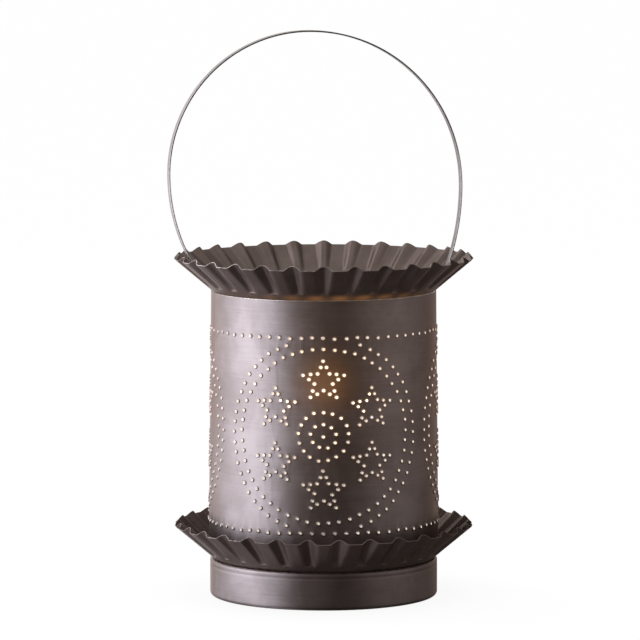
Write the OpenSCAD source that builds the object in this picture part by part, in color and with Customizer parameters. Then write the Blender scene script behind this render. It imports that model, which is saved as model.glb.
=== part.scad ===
// Punched-tin wax tart warmer: two crimped pie pans, a pierced lantern body,
// a rolled cup base, a strap handle and a lamp inside.
// Millimetres, +Z up, origin under the middle of the base cup, front facing -Y.

/* [Tin sheet and fits] */
// thickness of the tin sheet
sheet_t = 0.5; // [0.4:0.1:0.8]
// gap left between two soldered sheets
seat_gap = 0.2; // [0.2:0.05:0.4]
// gap between the loose pan and the edge that it rests on
lift_gap = 0.3; // [0.2:0.05:0.6]

/* [Base cup] */
// outer diameter of the cup
cup_d = 145.2; // [143:0.2:148]
// height of the cup to the top of its rolled edge
cup_h = 23.9; // [22:0.1:30]
// rounding between the cup's floor and wall
cup_corner_r = 2.25; // [1:0.25:5]
// diameter of the edge rolled inward
cup_curl_d = 3; // [2:0.2:3.4]

/* [Cord inlet] */
// height of the inlet's axis above the table
inlet_z = 11; // [9:0.5:12.5]
// bore for the cord
inlet_bore_d = 6.4; // [5:0.2:7]
// hole in the cup wall that the grommet snaps into
inlet_hole_d = 9.6; // [9:0.2:10.6]
// diameter of the grommet's two flanges
inlet_flange_d = 13; // [12:0.5:14.5]
// thickness of each flange
inlet_flange_t = 2; // [1:0.25:3]

/* [Crimped pans] */
// diameter over the rim
pan_rim_d = 190.6; // [180:0.2:210]
// diameter at which the sloping wall meets the floor
pan_floor_d = 138; // [134:0.2:138.6]
// height of the rim above the underside of the floor
pan_h = 22; // [18:0.5:26]
// rounding between floor and wall
pan_corner_r = 3; // [1:0.5:3.5]
// number of crimps, even so that two flats face each other
flute_n = 30; // [22:2:36]
// height of a crimp at the rim, square to the wall
flute_h = 4; // [2:0.25:5]
// diameter at which the crimps run out
flute_foot_d = 151; // [150:0.2:158]
// share of the pitch that a crimp takes at the rim
flute_rim_share = 0.56; // [0.44:0.02:0.62]
// share of the pitch that a crimp takes at its foot
flute_foot_share = 0.42; // [0.3:0.02:0.5]

/* [Punched body] */
// outer diameter at the top edge
body_top_d = 143.3; // [142:0.1:146]
// outer diameter at the bottom edge
body_bottom_d = 147; // [144:0.1:149]
// height of the rolled sheet
body_h = 167.4; // [160:0.2:185]
// width of the lock seam up the back
seam_w = 7; // [4:0.5:10]
// how far the lock seam stands out
seam_t = 0.9; // [0.5:0.1:1.5]

/* [Punching] */
// diameter of a punched hole
hole_d = 1.5; // [1:0.1:1.7]
// height of the pattern's middle above the body's bottom edge
motif_z = 82.7; // [76:0.1:90]
// turn from one pattern to the next
motif_turn = 110; // [106:0.5:114]
// stretch of the pattern around the body
motif_stretch = 1.035; // [1:0.005:1.06]
// radius of the outer ring, which is also how far the border rows lie from the middle
ring_r = 61.3; // [59:0.1:62]
// holes in the outer ring
ring_n = 58; // [40:1:62]
// radius of the inner ring
inner_ring_r = 54.6; // [53:0.1:55.4]
// holes in the inner ring
inner_ring_n = 53; // [40:1:56]
// radius of the circle that the star middles lie on
star_ring_r = 34.6; // [34:0.1:37]
// radius of a star to its points
star_r = 12.8; // [11:0.1:13]
// radius of a star to its inner corners
star_inner_r = 5.8; // [5:0.1:7]
// radius of the small ring
small_ring_r = 15.3; // [13:0.1:16]
// holes in the small ring
small_ring_n = 17; // [8:1:18]
// radius of the smallest ring
core_ring_r = 7.6; // [5:0.1:9]
// holes in the smallest ring
core_ring_n = 9; // [4:1:10]
// holes in each border row if it ran all the way round
row_n = 64; // [40:1:70]

/* [Handle] */
// outer radius of the bow to the right of its top
handle_right_r = 100; // [96:0.5:104]
// outer radius of the bow to the left of its top
handle_left_r = 90.4; // [86:0.1:94]
// top of the bow above the pan rim
handle_rise = 144.8; // [136:0.1:160]
// sideways place of the bow's top
handle_top_x = -10; // [-12:0.2:-6]
// turn of the bow about the upright axis, rounded to the nearest flat of the pan
handle_turn = 12; // [0:1:30]
// width of the strap
handle_w = 6.4; // [4:0.1:6.8]
// thickness of the strap
handle_t = 1; // [0.8:0.1:1.6]
// diameter at which the two feet land on the pan wall
handle_foot_d = 158; // [156:0.5:164]
// length of each foot along the wall
handle_foot_l = 8; // [5:0.5:8.5]

/* [Lamp holder] */
// outer diameter of the threaded pipe
nipple_d = 9.8; // [9:0.1:10.4]
// bore of the threaded pipe
nipple_bore_d = 6.4; // [5:0.2:7]
// length of pipe below the lower nut
nipple_tail = 2; // [0.5:0.25:4]
// width of the hexagon nuts across corners
nut_w = 18; // [15:0.5:21]
// height of each nut
nut_h = 4; // [3:0.25:5]
// diameter of the washers
washer_d = 24; // [21:0.5:28]
// thickness of the washers
washer_t = 1.2; // [0.8:0.1:2]
// radius of the holder's brass cap
cap_r = 16.6; // [16.5:0.1:18]
// thickness of the holder's brass sheet
brass_t = 0.6; // [0.4:0.1:0.7]
// height of the holder from its cap to the shell's edge
holder_h = 58; // [56:0.5:60]
// height of the lamp's contact above the foot of the cap
contact_h = 28; // [27.5:0.25:29]

/* [Lamp] */
// radius of the glass
glass_r = 30; // [28:0.5:31]
// height of the glass middle above the contact
glass_z = 75; // [73:0.5:80]
// wall of the glass
glass_t = 0.8; // [0.6:0.1:1.2]
// height of the filament above the contact
filament_z = 79; // [76:0.5:82]
// length of the filament between its leads
filament_l = 20; // [14:0.5:24]

/* [Hidden] */
$fn = 64;
// how far a cutting tool runs past a face
cut = 1;

// slope of the pan wall
pan_floor_r = pan_floor_d / 2;
pan_rim_r = pan_rim_d / 2;
wall_a = atan(pan_h / (pan_rim_r - pan_floor_r));
wall_tan = tan(wall_a);
wall_sin = sin(wall_a);
wall_cos = cos(wall_a);
corner_l = pan_corner_r * tan(wall_a / 2);

// crimps: columns of points across one crimp, and how the crimp swells along the wall
flute_foot_r = flute_foot_d / 2;
flute_pitch = 360 / flute_n;
flute_half_cols = 3;
flute_cols = 2 * flute_half_cols + 1;
flute_swell = 0.45;
flute_steps = [0, 0.08, 0.4, 1];

// the rolled edge of the cup carries the lower pan by its wall
cup_r = cup_d / 2;
curl_r = cup_curl_d / 2;
curl_mid_r = cup_r - curl_r;
curl_mid_z = cup_h - curl_r;
curl_reach = (curl_mid_r - pan_floor_r) * wall_sin - curl_r - seat_gap;
lower_pan_z = curl_mid_z - curl_reach / wall_cos;
tray_z = lower_pan_z + sheet_t;

// the body stands in the lower pan, and the upper pan in the body
body_bottom_r = body_bottom_d / 2;
body_top_r = body_top_d / 2;
body_mid_r = (body_bottom_r + body_top_r) / 2;
body_lift = (sheet_t + seat_gap) / wall_cos;
body_z = lower_pan_z + (body_bottom_r - pan_floor_r) * wall_tan + body_lift;
body_top_z = body_z + body_h;
body_facets = 90;
pan_drop = (body_top_r - sheet_t - pan_floor_r) * wall_tan;
upper_pan_z = body_top_z - pan_drop + lift_gap / wall_cos;
rim_z = upper_pan_z + pan_h;

// lock seam up the back, clear of the lower pan
seam_a = seam_w / body_mid_r * 180 / PI;
seam_foot = seam_t * wall_tan + 1;
seam_root = 0.2;
row_clear_a = seam_a / 2 + 2;
star_n = 6;
star_tips = 5;
// the border rows stand in for the outer ring where the two run together
ring_keep = 0.95;

// handle: the ends of the upper arcs, and where the lower arcs land
bow_right_z = rim_z + handle_rise - handle_right_r;
bow_left_z = rim_z + handle_rise - handle_left_r;
bow_right_x = handle_top_x + handle_right_r - handle_t / 2;
bow_left_x = handle_top_x - handle_left_r + handle_t / 2;
bend_d = 1.1 * handle_t;
foot_rise = sheet_t + seat_gap + handle_t / 2;
foot_r = handle_foot_d / 2;
foot_x = foot_r - foot_rise * wall_sin;
foot_z = upper_pan_z + (foot_r - pan_floor_r) * wall_tan + foot_rise * wall_cos;
toe_x = foot_x - handle_foot_l * wall_cos;
toe_z = foot_z - handle_foot_l * wall_sin;
flat_turn = (round((90 + handle_turn) / flute_pitch - 0.5) + 0.5) * flute_pitch - 90;

// solder
solder_l = 2.2;
solder_n = 4;
solder_a = 7;
solder_turn = 45;
solder_gap = 0.05;
solder_inset = 0.5;
// the flat facets of a pan lie a little inside its round wall
facet_gap = 0.3;

// lamp holder, stacked on the lower pan's floor
thread_gap = 0.1;
pipe_hole_d = nipple_d + 2 * thread_gap;
stand_z = tray_z + washer_t + nut_h;
hub_r = 7.6;
hub_h = 6.5;
skirt_z = 13.5;
skirt_top = 22;
slip = 0.2;
holder_shell_r = cap_r - brass_t - slip;
holder_shell_foot = skirt_z + brass_t + slip;
shell_bead_r = 0.8;
sleeve_r = holder_shell_r - brass_t - slip;
sleeve_t = 0.7;
sleeve_short = 1;
block_r = sleeve_r - sleeve_t - slip;
block_foot = holder_shell_foot;
block_drop = 1.5;
block_top = contact_h - block_drop;
block_well_r = 6;
block_well_z = block_top - block_well_r;
flat_x = 11;
terminal_z = (block_foot + block_top) / 2;
terminal_d = 3.4;
terminal_head_d = 6;
terminal_head_t = 1.8;
terminal_l = 4;
flat_top = terminal_z + terminal_head_d / 2 + slip;
contact_r = 3.4;
contact_post_r = 2;
contact_gap = 0.4;
contact_leaf_t = 0.8;

// lamp base, with the rings of its thread
lamp_z = stand_z + contact_h;
base_mid_r = 12.7;
base_wave = 0.38;
base_pitch = 3.6;
base_foot = 5.2;
base_turns = 4.5;
base_top = base_foot + base_turns * base_pitch;
base_bore_r = 11.6;
collar_r = 13.6;
collar_top = base_top + 4;
collar_t = 0.4;
collar_step = 0.4;
tip_r = 4.6;
tip_flat_r = 3.2;
tip_h = 1.4;
insulator_r = 10;
insulator_lip = 0.8;
wave_steps = 4;
screw_gap = 0.35;
screw_t = 0.4;
screw_r = base_mid_r + base_wave + screw_gap;

// glass: neck, flared shoulder and ball
neck_r = collar_r - collar_t - slip;
neck_foot = base_top + collar_step + slip;
shoulder_r = 40;
shoulder_x = neck_r + shoulder_r;
shoulder_drop = sqrt(pow(glass_r + shoulder_r, 2) - pow(shoulder_x, 2));
shoulder_z = glass_z - shoulder_drop;
blend_x = glass_r * shoulder_x / (glass_r + shoulder_r);
blend_z = glass_z - glass_r * shoulder_drop / (glass_r + shoulder_r);

// glass mount inside the lamp
stem_r = 4;
stem_gap = 0.3;
stem_drop = 22;
stem_top = filament_z - stem_drop;
stem_flare_r = neck_r - glass_t - stem_gap;
stem_foot = neck_foot + glass_t;
stem_flare_h = 9;
stem_t = 1;
lead_r = 0.4;
lead_x = 2.2;
lead_rise = 4;
bend_r = 0.55;
hook_r = 0.8;
filament_r = 0.6;

TIN = [0.2, 0.19, 0.19];
SOLDER = [0.62, 0.62, 0.64];
STEEL = [0.66, 0.66, 0.67];
BRASS = [0.72, 0.56, 0.26];
GLASS = [0.93, 0.91, 0.86];

function lerp(a, b, x) = a + (b - a) * x;
function body_r(z) = lerp(body_bottom_r, body_top_r, (z - body_z) / body_h);
// top face of a pan's wall, over the pan's own floor
function wall_top(r) = (r - pan_floor_r) * wall_tan + sheet_t / wall_cos;
// radius of the lamp's thread, and the rising list of its points
function wave_r(z) = base_mid_r - base_wave * cos(360 * (z - base_foot) / base_pitch);
function wave_line(z0, z1) =
    let (n = round((z1 - z0) / base_pitch * wave_steps))
    [for (i = [0 : n]) [wave_r(lerp(z0, z1, i / n)), lerp(z0, z1, i / n)]];

// Base cup: drawn tin cup, closed underneath, its upper edge rolled inward.
module base_cup() {
    color(TIN)
    difference() {
        rotate_extrude() {
            square([cup_r - cup_corner_r, sheet_t]);
            translate([cup_r - sheet_t, cup_corner_r])
                square([sheet_t, curl_mid_z - cup_corner_r]);
            intersection() {
                translate([cup_r - cup_corner_r, cup_corner_r])
                    difference() {
                        circle(cup_corner_r);
                        circle(cup_corner_r - sheet_t);
                    }
                translate([cup_r - cup_corner_r, 0])
                    square(cup_corner_r);
            }
            translate([curl_mid_r, curl_mid_z])
                circle(curl_r);
        }
        translate([0, cup_r, inlet_z])
            rotate([90, 0, 0])
                cylinder(d = inlet_hole_d, h = 8 * sheet_t, center = true);
    }
}

// Cord grommet: rubber bush snapped into the hole in the back of the cup.
module cord_grommet() {
    neck_in = sqrt(pow(cup_r - sheet_t, 2) - pow(inlet_flange_d / 2, 2)) - solder_gap;
    neck_l = cup_r + solder_gap - neck_in;
    color([0.08, 0.08, 0.08])
    translate([0, neck_in - inlet_flange_t, inlet_z])
        rotate([-90, 0, 0])
            difference() {
                union() {
                    cylinder(d = inlet_flange_d, h = inlet_flange_t);
                    cylinder(d = inlet_hole_d - 2 * thread_gap, h = neck_l + 2 * inlet_flange_t);
                    translate([0, 0, inlet_flange_t + neck_l])
                        cylinder(d = inlet_flange_d, h = inlet_flange_t);
                }
                translate([0, 0, -cut])
                    cylinder(d = inlet_bore_d, h = neck_l + 2 * inlet_flange_t + 2 * cut);
            }
}

// One row of a pan: radius, height, slope of the sheet, crimp height, crimp share.
function wall_row(r, amp, share) = [r, (r - pan_floor_r) * wall_tan, wall_a, amp, share];
function pan_rows() = concat(
    [[pan_floor_r - corner_l, 0, 0, 0, flute_foot_share]],
    [wall_row(pan_floor_r + corner_l * wall_cos, 0, flute_foot_share)],
    [for (x = flute_steps)
        wall_row(lerp(flute_foot_r, pan_rim_r, x),
            x == 0 ? 0 : flute_h * pow(x, flute_swell),
            lerp(flute_foot_share, flute_rim_share, x))]);

// One point of a pan: side 0 lies underneath, side 1 one sheet thickness above it.
function pan_point(row, col, side, phase) =
    let (u = (col % flute_cols - flute_half_cols) / flute_half_cols)
    let (half = flute_pitch * row[4] / 2)
    let (slope = -row[3] * sin(180 * u) * 90 / (row[0] * half))
    let (slant = sqrt(1 + slope * slope))
    let (rise = row[3] * (1 + cos(180 * u)) / 2 + side * sheet_t / slant)
    let (slip_a = -side * sheet_t * slope / slant / row[0] * 180 / PI)
    let (a = phase + floor(col / flute_cols) * flute_pitch + half * u + slip_a)
    let (r = row[0] - rise * sin(row[2]))
    [r * sin(a), -r * cos(a), row[1] + rise * cos(row[2])];

// Crimped pan: pie pan of thin tin, its wall pressed into crimps that die out above the floor.
module crimped_pan(phase) {
    rows = pan_rows();
    n_row = len(rows);
    n_col = flute_n * flute_cols;
    last = n_row - 1;
    points = [for (side = [0, 1]) for (row = rows) for (c = [0 : n_col - 1])
        pan_point(row, c, side, phase)];
    under = [for (i = [0 : last - 1]) for (c = [0 : n_col - 1])
        let (a = i * n_col + c, b = i * n_col + (c + 1) % n_col)
        each [[a, a + n_col, b + n_col], [a, b + n_col, b]]];
    top = [for (f = under) [f[0] + n_row * n_col, f[2] + n_row * n_col, f[1] + n_row * n_col]];
    rim = [for (c = [0 : n_col - 1])
        let (a = last * n_col + c, b = last * n_col + (c + 1) % n_col, up = n_row * n_col)
        each [[a, a + up, b + up], [a, b + up, b]]];
    floor_under = [for (c = [0 : n_col - 1]) c];
    floor_top = [for (c = [n_col - 1 : -1 : 0]) n_row * n_col + c];
    polyhedron(points, concat(under, top, rim, [floor_under], [floor_top]));
}

// Lower pan: catches drips; soldered on the cup, with a hole for the lamp pipe.
module lower_pan() {
    color(TIN)
    translate([0, 0, lower_pan_z])
        difference() {
            crimped_pan(flute_pitch / 2);
            translate([0, 0, -cut])
                cylinder(d = pipe_hole_d, h = sheet_t + 2 * cut);
        }
}

// Pan solder: four short runs between the cup's rolled edge and the lower pan.
module pan_solder() {
    out = curl_mid_r - curl_r - solder_gap;
    flat = pan_floor_r - corner_l;
    color(SOLDER)
    for (i = [0 : solder_n - 1])
        rotate([0, 0, solder_turn + i * 360 / solder_n])
            rotate_extrude(angle = solder_a)
                polygon([
                    [flat - solder_l, lower_pan_z],
                    [flat, lower_pan_z],
                    [out, lower_pan_z - solder_gap],
                    [out, lower_pan_z - solder_l / 2],
                    [flat, lower_pan_z - solder_l / 2]]);
}

// Pipe nipple: hollow threaded pipe that carries the lamp holder and its wires.
module pipe_nipple() {
    foot = lower_pan_z - washer_t - nut_h - nipple_tail;
    color(STEEL)
    translate([0, 0, foot])
        difference() {
            cylinder(d = nipple_d, h = stand_z + hub_h - foot);
            translate([0, 0, -cut])
                cylinder(d = nipple_bore_d, h = stand_z + hub_h - foot + 2 * cut);
        }
}

// Pipe washers: one under the pan floor and one on it.
module pipe_washers() {
    color(STEEL)
    for (z = [lower_pan_z - washer_t, tray_z])
        translate([0, 0, z])
            difference() {
                cylinder(d = washer_d, h = washer_t);
                translate([0, 0, -cut])
                    cylinder(d = pipe_hole_d, h = washer_t + 2 * cut);
            }
}

// Pipe nuts: hexagon nuts that clamp the washers; the holder stands on the upper one.
module pipe_nuts() {
    color(STEEL)
    for (z = [lower_pan_z - washer_t - nut_h, tray_z + washer_t])
        translate([0, 0, z])
            difference() {
                cylinder(d = nut_w, h = nut_h, $fn = 6);
                translate([0, 0, -cut])
                    cylinder(d = pipe_hole_d, h = nut_h + 2 * cut);
            }
}

// Holder cap: spun brass cap with a threaded hub.
module holder_cap() {
    bore = pipe_hole_d / 2;
    color(BRASS)
    translate([0, 0, stand_z])
        rotate_extrude()
            polygon([
                [bore, 0], [hub_r, 0], [hub_r, hub_h - brass_t], [cap_r, skirt_z], [cap_r, skirt_top],
                [cap_r - brass_t, skirt_top], [cap_r - brass_t, skirt_z + brass_t / 2],
                [hub_r, hub_h], [bore, hub_h]]);
}

// Holder block: moulded insulator inside the holder, with a well for the contact.
module holder_block() {
    color([0.1, 0.09, 0.08])
    translate([0, 0, stand_z])
        difference() {
            translate([0, 0, block_foot])
                cylinder(r = block_r, h = block_top - block_foot);
            translate([0, 0, block_well_z])
                cylinder(r = block_well_r, h = block_top);
            for (s = [-1, 1])
                translate([s * (flat_x + block_r / 2), 0, block_foot])
                    cube([block_r, 2 * block_r, 2 * (flat_top - block_foot)], center = true);
            for (s = [-1, 1])
                translate([s * (flat_x - terminal_l / 2), 0, terminal_z])
                    rotate([0, 90, 0])
                        cylinder(
                            d = terminal_d + 2 * thread_gap, h = terminal_l + 2 * thread_gap,
                            center = true);
        }
}

// Terminal screws: two binding-head screws, one on each flat of the block.
module terminal_screws() {
    color(BRASS)
    for (s = [-1, 1])
        translate([s * flat_x, 0, stand_z + terminal_z])
            rotate([0, s * 90, 0]) {
                cylinder(d = terminal_head_d, h = terminal_head_t);
                translate([0, 0, -terminal_l])
                    cylinder(d = terminal_d, h = terminal_l);
            }
}

// Centre contact: brass post and leaf in the block's well, under the lamp's tip.
module centre_contact() {
    leaf_z = contact_h - contact_gap - contact_leaf_t;
    color(BRASS)
    translate([0, 0, stand_z]) {
        translate([0, 0, block_well_z])
            cylinder(r = contact_post_r, h = leaf_z - block_well_z);
        translate([0, 0, leaf_z])
            cylinder(r = contact_r, h = contact_leaf_t);
    }
}

// Screw shell: thin shell that the lamp turns into, seated on the block; its thread is not cut.
module screw_shell() {
    color(BRASS)
    translate([0, 0, lamp_z])
        rotate_extrude()
            polygon([
                [block_well_r, -block_drop], [screw_r + screw_t, -block_drop],
                [screw_r + screw_t, base_top], [screw_r, base_top],
                [screw_r, screw_t - block_drop], [block_well_r, screw_t - block_drop]]);
}

// Insulating sleeve: fibre tube between the screw shell and the brass shell.
module insulating_sleeve() {
    color([0.42, 0.34, 0.24])
    translate([0, 0, stand_z + holder_shell_foot])
        difference() {
            cylinder(r = sleeve_r, h = holder_h - holder_shell_foot - sleeve_short);
            translate([0, 0, -cut])
                cylinder(r = sleeve_r - sleeve_t, h = holder_h);
        }
}

// Holder shell: brass tube snapped into the cap, its top edge beaded.
module holder_shell() {
    color(BRASS)
    translate([0, 0, stand_z])
        rotate_extrude() {
            translate([holder_shell_r - brass_t, holder_shell_foot])
                square([brass_t, holder_h - holder_shell_foot]);
            translate([holder_shell_r - brass_t / 2, holder_h])
                circle(shell_bead_r);
        }
}

// Lamp tip: soldered centre contact of the lamp.
module lamp_tip() {
    color(SOLDER)
    translate([0, 0, lamp_z])
        rotate_extrude()
            polygon([[0, 0], [tip_flat_r, 0], [tip_r, tip_h / 2], [tip_r, tip_h], [0, tip_h]]);
}

// Lamp insulator: black glass between the tip and the threaded base.
module lamp_insulator() {
    color([0.05, 0.05, 0.06])
    translate([0, 0, lamp_z])
        rotate_extrude()
            polygon([
                [0, tip_h], [tip_r, tip_h], [insulator_r, base_foot - insulator_lip],
                [insulator_r, base_foot], [0, base_foot]]);
}

// Lamp base: threaded metal base with the collar that grips the glass neck.
module lamp_base() {
    color(STEEL)
    translate([0, 0, lamp_z])
        rotate_extrude()
            polygon(concat(
                [[0, base_foot + collar_t], [0, base_foot]],
                wave_line(base_foot, base_top),
                [[collar_r, base_top + collar_step], [collar_r, collar_top],
                [collar_r - collar_t, collar_top], [collar_r - collar_t, base_top + collar_step],
                [base_bore_r, base_top], [base_bore_r, base_foot + collar_t]]));
}

// Half outline of the glass, d inside its outer face.
module glass_outline(d) {
    intersection() {
        translate([0, neck_foot - cut])
            square([2 * glass_r, 3 * glass_r + glass_z]);
        union() {
            translate([0, glass_z])
                circle(glass_r - d);
            difference() {
                translate([0, neck_foot - cut])
                    square([blend_x, blend_z - neck_foot + cut]);
                translate([shoulder_x, shoulder_z])
                    circle(shoulder_r + d);
                translate([neck_r - d, neck_foot - cut])
                    square([shoulder_r, shoulder_z - neck_foot + cut]);
            }
        }
    }
}

// Lamp glass: frosted household lamp bulb, blown thin.
module lamp_glass() {
    color(GLASS)
    translate([0, 0, lamp_z])
        rotate_extrude()
            difference() {
                glass_outline(0);
                glass_outline(glass_t);
                translate([0, neck_foot - 2 * cut])
                    square([2 * glass_r, 2 * cut]);
            }
}

// Lamp stem: flared glass tube that holds the lead wires.
module lamp_stem() {
    color(GLASS)
    translate([0, 0, lamp_z])
        rotate_extrude()
            polygon([
                [stem_flare_r - stem_t, stem_foot], [stem_flare_r, stem_foot],
                [stem_r, stem_foot + stem_flare_h], [stem_r, stem_top], [0, stem_top],
                [0, stem_top - 2 * stem_r], [stem_r - stem_t, stem_top - 2 * stem_r],
                [stem_r - stem_t, stem_foot + stem_flare_h - stem_t]]);
}

// Lamp leads: two wires from the stem to the ends of the filament.
module lamp_leads() {
    hook_x = filament_l / 2 + hook_r + solder_gap;
    run = filament_z - stem_top - lead_rise;
    color(STEEL)
    for (s = [-1, 1])
        translate([s * lead_x, 0, lamp_z + stem_top]) {
            cylinder(r = lead_r, h = lead_rise);
            translate([0, 0, lead_rise])
                sphere(r = bend_r);
            translate([0, 0, lead_rise])
                rotate([0, s * atan((hook_x - lead_x) / run), 0])
                    cylinder(r = lead_r, h = sqrt(pow(run, 2) + pow(hook_x - lead_x, 2)));
            translate([s * (hook_x - lead_x), 0, filament_z - stem_top])
                sphere(r = hook_r);
        }
}

// Lamp filament: coiled wire, drawn as the rod that its coil fills.
module lamp_filament() {
    color([0.95, 0.7, 0.35])
    translate([0, 0, lamp_z + filament_z])
        rotate([0, 90, 0])
            cylinder(r = filament_r, h = filament_l, center = true);
}

// One punch: h around the sheet from the front, v above the pattern's middle.
module punch(h, v) {
    z = body_z + motif_z + v;
    rotate([0, 0, h * motif_stretch / body_mid_r * 180 / PI])
        translate([0, -body_r(z), z])
            rotate([90, 0, 0])
                cylinder(d = hole_d, h = 6 * sheet_t, center = true, $fn = 16);
}

module punch_ring(h, r, n) {
    for (i = [0 : n - 1])
        punch(h + r * sin(360 * i / n), r * cos(360 * i / n));
}

// Outer ring, left out where it would run into the border rows.
module punch_border_ring(h) {
    for (i = [0 : ring_n - 1])
        if (abs(cos(360 * (i + 0.5) / ring_n)) < ring_keep)
            punch(h + ring_r * sin(360 * (i + 0.5) / ring_n), ring_r * cos(360 * (i + 0.5) / ring_n));
}

// Star outline: its points, its inner corners and the middles of its sides.
function star_point(i) =
    let (r = i % 2 == 0 ? star_r : star_inner_r)
    [r * sin(180 / star_tips * i), r * cos(180 / star_tips * i)];

module punch_star(h, v) {
    for (i = [0 : 2 * star_tips - 1]) {
        a = star_point(i);
        b = star_point(i + 1);
        punch(h + a[0], v + a[1]);
        punch(h + (a[0] + b[0]) / 2, v + (a[1] + b[1]) / 2);
    }
}

module punch_motif(h) {
    punch_border_ring(h);
    punch_ring(h, inner_ring_r, inner_ring_n);
    punch_ring(h, small_ring_r, small_ring_n);
    punch_ring(h, core_ring_r, core_ring_n);
    punch(h, 0);
    for (i = [0 : star_n - 1])
        punch_star(h + star_ring_r * sin(360 * i / star_n), star_ring_r * cos(360 * i / star_n));
}

module punch_row(v) {
    lap = 2 * PI * body_mid_r / motif_stretch;
    for (i = [0 : row_n - 1])
        if (abs(360 * i / row_n - 180) > row_clear_a)
            punch(lap * i / row_n, v);
}

// The rolled sheet, as flat facets that each run from the bottom edge to the top.
module rolled_sheet() {
    edges = [
        [body_bottom_r, body_z], [body_top_r, body_top_z],
        [body_top_r - sheet_t, body_top_z], [body_bottom_r - sheet_t, body_z]];
    points = [for (e = edges) for (i = [0 : body_facets - 1])
        let (a = 360 * (i + 0.5) / body_facets)
        [e[0] * sin(a), -e[0] * cos(a), e[1]]];
    faces = [for (k = [0 : 3]) for (i = [0 : body_facets - 1])
        let (a = k * body_facets, b = (k + 1) % 4 * body_facets, j = (i + 1) % body_facets)
        [a + i, b + i, b + j, a + j]];
    polyhedron(points, faces);
}

// Body shell: sheet punched flat, rolled up and closed by a lock seam at the back.
module body_shell() {
    color(TIN) {
        difference() {
            rolled_sheet();
            for (k = [-1 : 1])
                punch_motif(k * motif_turn * PI / 180 * body_mid_r / motif_stretch);
            punch_row(ring_r);
            punch_row(-ring_r);
        }
        rotate([0, 0, 90 - seam_a / 2])
            rotate_extrude(angle = seam_a)
                polygon([
                    [body_r(body_z + seam_foot) - seam_root, body_z + seam_foot],
                    [body_r(body_z + seam_foot) + seam_t, body_z + seam_foot],
                    [body_top_r + seam_t, body_top_z],
                    [body_top_r - seam_root, body_top_z]]);
    }
}

// Body solder: four short runs inside, between the body's bottom edge and the lower pan.
module body_solder() {
    r = body_bottom_r - sheet_t - 2 * solder_gap;
    low = r - solder_l;
    color(SOLDER)
    for (i = [0 : solder_n - 1])
        rotate([0, 0, solder_turn + i * 360 / solder_n])
            rotate_extrude(angle = solder_a)
                polygon([
                    [low, lower_pan_z + wall_top(low) + facet_gap],
                    [r, lower_pan_z + wall_top(r) + facet_gap],
                    [r - 2 * solder_gap, body_z + solder_l]]);
}

// Upper pan: loose crimped pan that holds the wax over the lamp.
module upper_pan() {
    color(TIN)
    translate([0, 0, upper_pan_z])
        crimped_pan(0);
}

// One arc of the strap: middle [x, z], middle radius, start angle and sweep.
module strap_arc(middle, r, from, sweep) {
    translate([middle[0], 0, middle[1]])
        rotate([90, 0, 0])
            rotate([0, 0, from])
                mirror([0, sweep < 0 ? 1 : 0, 0])
                    rotate_extrude(angle = abs(sweep))
                        translate([r - handle_t / 2, -handle_w / 2])
                            square([handle_t, handle_w]);
}

// Radius of a lower arc that leaves upright and lands d away, to a hundredth.
function lower_r(d) = round(100 * d * d / (2 * abs(d[0]))) / 100;

module handle_foot() {
    translate([toe_x, 0, toe_z])
        rotate([0, -wall_a, 0])
            translate([0, -handle_w / 2, -handle_t / 2])
                cube([handle_foot_l, handle_w, handle_t]);
    translate([foot_x, 0, foot_z])
        rotate([90, 0, 0])
            cylinder(d = bend_d, h = handle_w, center = true);
}

// Handle: flat tin strap bent into a bow, its two feet soldered inside the upper pan.
module handle() {
    right_r = lower_r([foot_x - bow_right_x, foot_z - bow_right_z]);
    left_r = lower_r([-foot_x - bow_left_x, foot_z - bow_left_z]);
    right_sweep = asin((foot_z - bow_right_z) / right_r);
    left_sweep = asin((bow_left_z - foot_z) / left_r);
    color(TIN)
    rotate([0, 0, flat_turn]) {
        strap_arc([handle_top_x, bow_right_z], handle_right_r - handle_t / 2, 0, 90);
        strap_arc([handle_top_x, bow_left_z], handle_left_r - handle_t / 2, 90, 90);
        strap_arc([bow_right_x - right_r, bow_right_z], right_r, 0, right_sweep);
        strap_arc([bow_left_x + left_r, bow_left_z], left_r, 180, left_sweep);
        handle_foot();
        mirror([1, 0, 0])
            handle_foot();
    }
}

// Handle solder: a wedge of solder at the toe of each foot.
module handle_solder() {
    color(SOLDER)
    rotate([0, 0, flat_turn])
        for (m = [0, 1])
            mirror([m, 0, 0])
                translate([toe_x, 0, toe_z])
                    rotate([0, -wall_a, 0])
                        rotate([90, 0, 0])
                            linear_extrude(height = handle_w - 2 * solder_inset, center = true)
                                polygon([
                                    [0, -handle_t / 2], [0, handle_t / 2], [-solder_l, -handle_t / 2]]);
}

base_cup();
cord_grommet();
lower_pan();
pan_solder();
pipe_nipple();
pipe_washers();
pipe_nuts();
holder_cap();
holder_block();
terminal_screws();
centre_contact();
screw_shell();
insulating_sleeve();
holder_shell();
lamp_tip();
lamp_insulator();
lamp_base();
lamp_glass();
lamp_stem();
lamp_leads();
lamp_filament();
body_shell();
body_solder();
upper_pan();
handle();
handle_solder();
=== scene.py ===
import math

import bmesh
import bpy
from mathutils import Matrix, Vector, kdtree


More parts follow.
